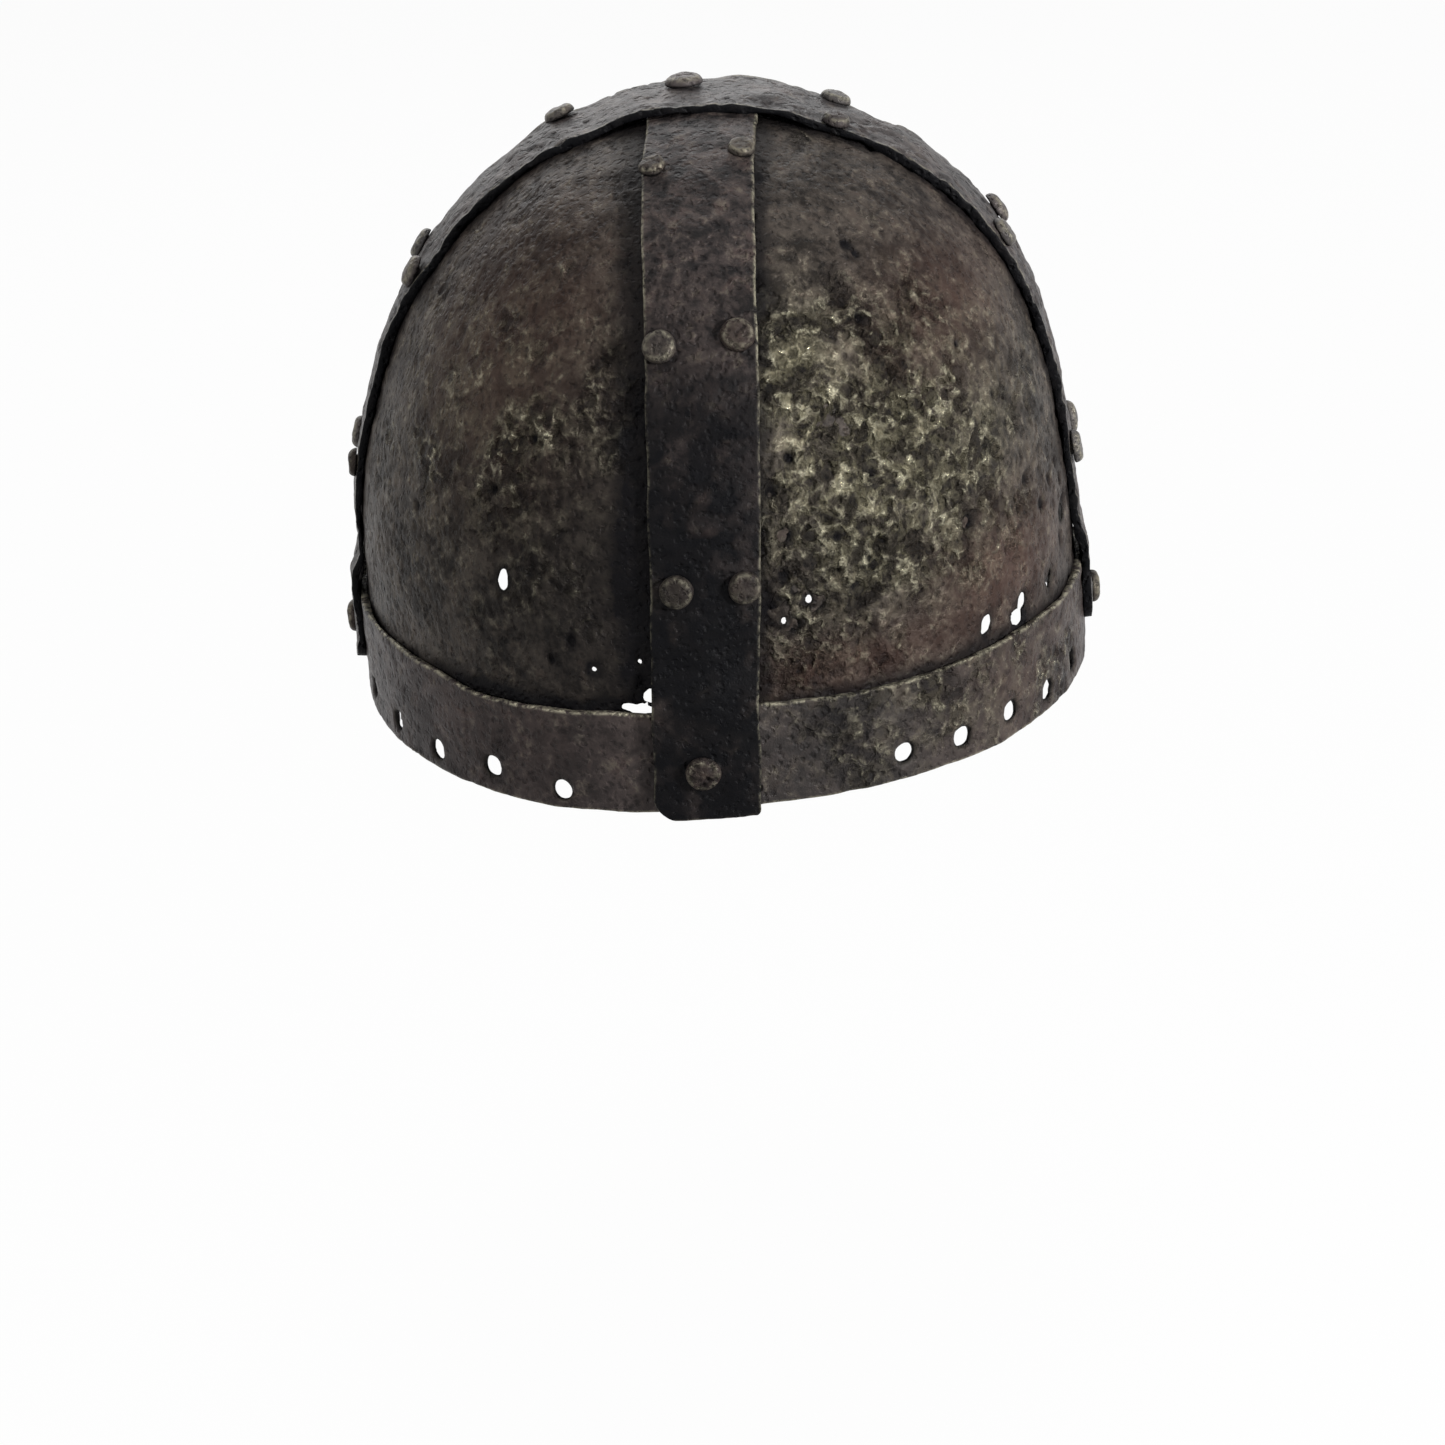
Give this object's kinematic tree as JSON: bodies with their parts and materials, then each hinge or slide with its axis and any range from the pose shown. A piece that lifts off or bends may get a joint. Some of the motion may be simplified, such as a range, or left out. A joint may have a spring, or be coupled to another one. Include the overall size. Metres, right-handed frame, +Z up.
{
  "type": "nasal helmet",
  "caption": "Riveted iron nasal helmet of bands and plates, rusted and pitted, with a nose bar and a row of lining holes round its brow band",
  "frame": {"origin": "the middle of the head opening, in the plane of the brow band's lower edge", "axes": "+Z up to the crown, +Y to the front where the nose bar is, +X to the wearer's right, so the back of the helmet faces -Y"},
  "size_m": [0.2171, 0.2464, 0.2261],
  "materials": {
    "plate_iron": "corroded wrought iron, dark brown, pitted with worn grey ridges",
    "band_iron": "corroded wrought iron, near black, hammered, with worn bright edges",
    "rivet_iron": "worn hammered iron rivet heads"
  },
  "bodies": {
    "root": {"rear_left_plate": "plate_iron", "rear_right_plate": "plate_iron", "front_left_plate": "plate_iron", "front_right_plate": "plate_iron", "brow_band": "band_iron", "crown_band": "band_iron", "rear_strap": "band_iron", "front_strap": "band_iron", "nasal_guard": "band_iron", "rear_strap_rivets": "rivet_iron", "rear_strap_foot_rivet": "rivet_iron", "front_strap_rivets": "rivet_iron", "nasal_rivets": "rivet_iron", "crown_band_rear_rivets": "rivet_iron", "crown_band_front_rivets": "rivet_iron", "crown_apex_rivet": "rivet_iron", "crown_end_rivets": "rivet_iron"}
  },
  "joints": []
}
